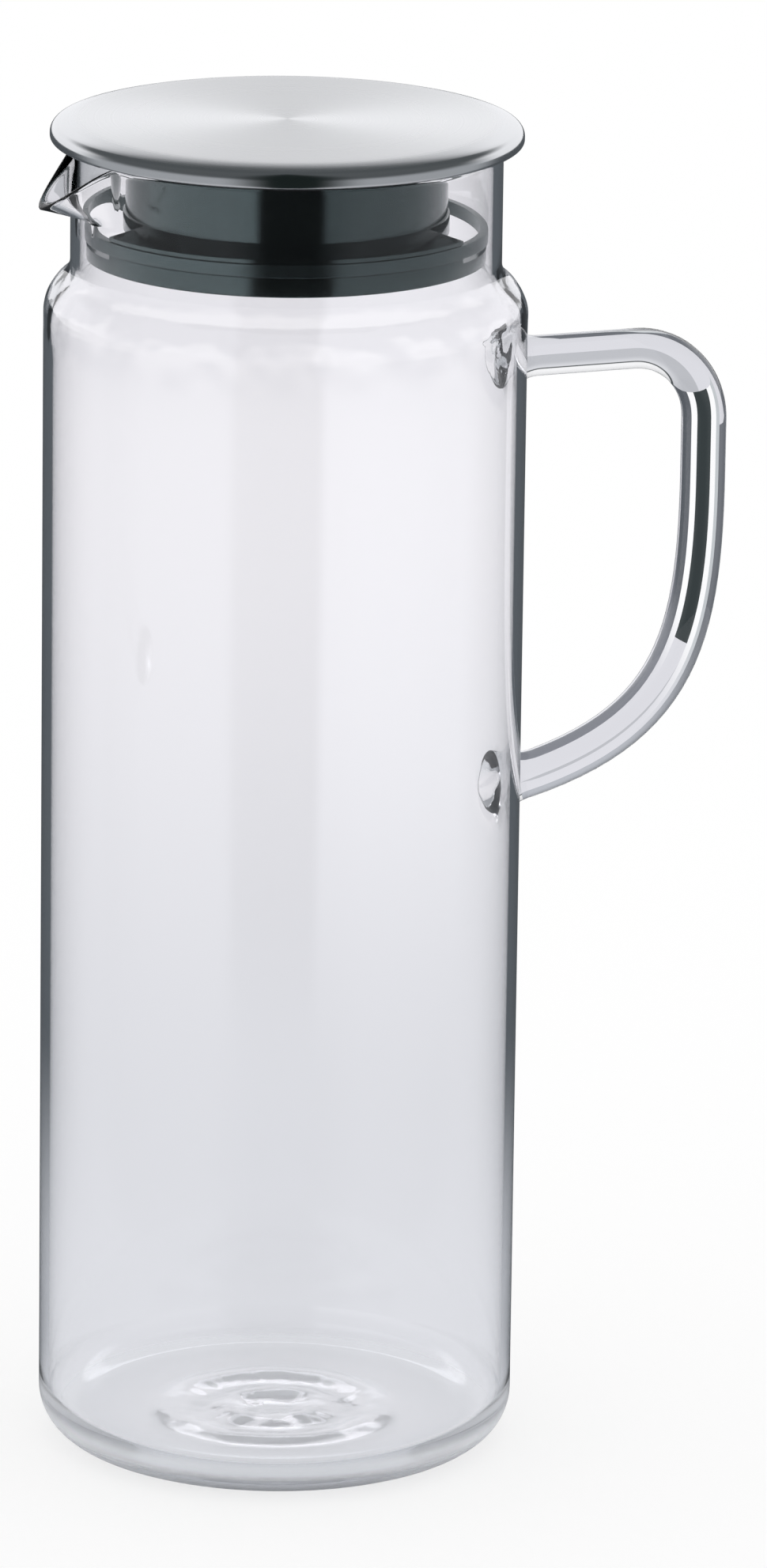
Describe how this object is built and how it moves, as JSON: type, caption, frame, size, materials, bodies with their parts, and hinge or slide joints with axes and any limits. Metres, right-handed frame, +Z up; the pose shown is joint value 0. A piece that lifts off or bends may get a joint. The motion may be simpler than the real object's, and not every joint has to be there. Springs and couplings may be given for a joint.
{
  "type": "glass pitcher",
  "caption": "Cylindrical glass pitcher with a pulled spout, fused rod handle and a flat steel lid whose black stopper lifts out of the neck and turns to open or close the pour.",
  "frame": {"origin": "centre of the flat underside of the base", "axes": "+Z up along the vessel's axis, +X towards the handle, -X towards the spout"},
  "size_m": [0.152, 0.0998, 0.2829],
  "materials": {
    "glass": "clear borosilicate, fire polished",
    "steel": "circular brushed",
    "black_plastic": "polished moulding",
    "silicone": "satin"
  },
  "bodies": {
    "jug": {"glass_body": "glass", "handle": "glass"},
    "seal": {"seal_ring": "silicone"},
    "lid": {"lid_cap": "steel", "stopper": "black_plastic"}
  },
  "joints": [
    {"name": "lid_lift", "type": "slide", "parent": "jug", "child": "seal", "axis": [0, 0, 1], "range_m": [0, 0.12]},
    {"name": "lid_twist", "type": "hinge", "parent": "seal", "child": "lid", "pos_m": [0, 0, 0.2608], "axis": [0, 0, 1], "continuous": true}
  ]
}
